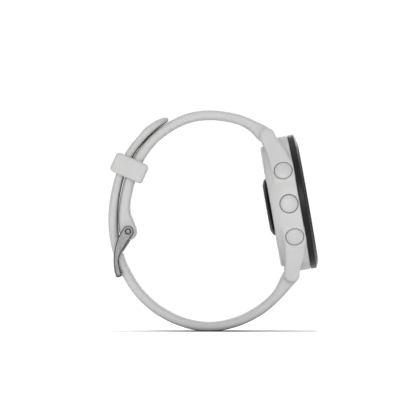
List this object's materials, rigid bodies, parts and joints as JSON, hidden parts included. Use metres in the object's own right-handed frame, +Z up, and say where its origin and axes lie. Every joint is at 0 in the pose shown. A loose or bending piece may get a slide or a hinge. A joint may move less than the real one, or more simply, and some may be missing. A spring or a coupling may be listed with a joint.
{
  "type": "gps running watch",
  "caption": "Round sports watch with side buttons, a black bezel, a rear pulse sensor and a silicone strap closed in a ring by a pin buckle and keeper.",
  "frame": {"origin": "on the ground, under the lowest point of the closed strap, in the strap's middle plane", "axes": "+Z up; +X the way the screen faces, which leans back 10 degrees, so 12 o'clock is at the top; +Y from the 9 o'clock side, which has three buttons, to the 3 o'clock side, which has two"},
  "size_m": [0.065, 0.0432, 0.0683],
  "materials": {
    "case": "moulded, fine satin",
    "buttons": "moulded, fine satin",
    "rear_cover": "moulded, fine satin",
    "bezel": "black, semi-gloss",
    "lens": "polished, chemically strengthened",
    "display": "dark reflective display",
    "sensor_window": "polished black",
    "strap": "silicone, fine matt",
    "buckle_steel": "bead-blasted, satin",
    "steel": "plain",
    "seal": "black rubber",
    "black_plastic": "matt",
    "board": "solder mask, satin",
    "contacts": "gold plated",
    "battery": "foil pouch",
    "brass": "plain"
  },
  "bodies": {
    "watch": {"case_middle": "case", "bezel": "bezel", "cover_lens": "lens", "lens_gasket": "seal", "display_panel": "display", "display_frame": "black_plastic", "gps_antenna": "contacts", "main_board": "board", "processor_chip": "black_plastic", "radio_shield": "steel", "battery": "battery", "motor_can": "steel", "buzzer": "brass", "rear_cover": "rear_cover", "rear_gasket": "seal", "sensor_window": "sensor_window", "sensor_board": "board", "charging_socket": "black_plastic", "charging_contact_1": "contacts", "charging_contact_2": "contacts", "charging_contact_3": "contacts", "charging_contact_4": "contacts", "rear_screw_1": "steel", "rear_screw_2": "steel", "rear_screw_3": "steel", "rear_screw_4": "steel", "button_light_seal": "seal", "button_light_switch": "black_plastic", "button_up_seal": "seal", "button_up_switch": "black_plastic", "button_down_seal": "seal", "button_down_switch": "black_plastic", "button_start_seal": "seal", "button_start_switch": "black_plastic", "button_back_seal": "seal", "button_back_switch": "black_plastic", "lower_spring_bar_tube": "steel", "lower_spring_bar_spring": "steel", "upper_spring_bar_tube": "steel", "upper_spring_bar_spring": "steel", "strap_buckle_side": "strap", "strap_tail_side": "strap"},
    "button_light": {"button_light": "buttons", "button_light_clip": "steel"},
    "button_up": {"button_up": "buttons", "button_up_clip": "steel"},
    "button_down": {"button_down": "buttons", "button_down_clip": "steel"},
    "button_start": {"button_start": "buttons", "button_start_clip": "steel"},
    "button_back": {"button_back": "buttons", "button_back_clip": "steel"},
    "keeper": {"strap_keeper": "strap"},
    "buckle_frame": {"buckle_frame": "buckle_steel", "buckle_pin": "buckle_steel"},
    "buckle_tongue": {"buckle_tongue": "buckle_steel"},
    "upper_release_tip": {"upper_spring_bar_tip": "steel"},
    "lower_release_tip": {"lower_spring_bar_tip": "steel"},
    "motor_rotor": {"motor_rotor": "brass"}
  },
  "joints": [
    {"name": "light_press", "type": "slide", "parent": "watch", "child": "button_light", "axis": [0.0855, 0.8704, -0.4849], "range_m": [0, 0.0005], "stiffness_N_per_m": 900},
    {"name": "up_press", "type": "slide", "parent": "watch", "child": "button_up", "axis": [0, 1, 0], "range_m": [0, 0.0005], "stiffness_N_per_m": 900},
    {"name": "down_press", "type": "slide", "parent": "watch", "child": "button_down", "axis": [-0.0855, 0.8704, 0.4849], "range_m": [0, 0.0005], "stiffness_N_per_m": 900},
    {"name": "start_press", "type": "slide", "parent": "watch", "child": "button_start", "axis": [0.0855, -0.8704, -0.4849], "range_m": [0, 0.0005], "stiffness_N_per_m": 900},
    {"name": "back_press", "type": "slide", "parent": "watch", "child": "button_back", "axis": [-0.0855, -0.8704, 0.4849], "range_m": [0, 0.0005], "stiffness_N_per_m": 900},
    {"name": "keeper_slide", "type": "hinge", "parent": "watch", "child": "keeper", "pos_m": [0.00395, 0, 0.0375], "axis": [0, 1, 0], "range_deg": [-15, 16]},
    {"name": "buckle_swing", "type": "hinge", "parent": "watch", "child": "buckle_frame", "pos_m": [-0.02525, 0, 0.03085], "axis": [0, 1, 0], "range_deg": [0, 3]},
    {"name": "tongue_lift", "type": "hinge", "parent": "buckle_frame", "child": "buckle_tongue", "pos_m": [-0.02525, 0, 0.03085], "axis": [0, 1, 0], "range_deg": [0, 2]},
    {"name": "upper_release_slide", "type": "slide", "parent": "watch", "child": "upper_release_tip", "axis": [0, -1, 0], "range_m": [0, 0.0013], "stiffness_N_per_m": 700, "deforming": ["upper_spring_bar_spring"]},
    {"name": "lower_release_slide", "type": "slide", "parent": "watch", "child": "lower_release_tip", "axis": [0, -1, 0], "range_m": [0, 0.0013], "stiffness_N_per_m": 700, "deforming": ["lower_spring_bar_spring"]},
    {"name": "motor_spin", "type": "hinge", "parent": "watch", "child": "motor_rotor", "pos_m": [0.02045, 0, 0.05214], "axis": [0.9848, 0, 0.1736], "continuous": true}
  ]
}
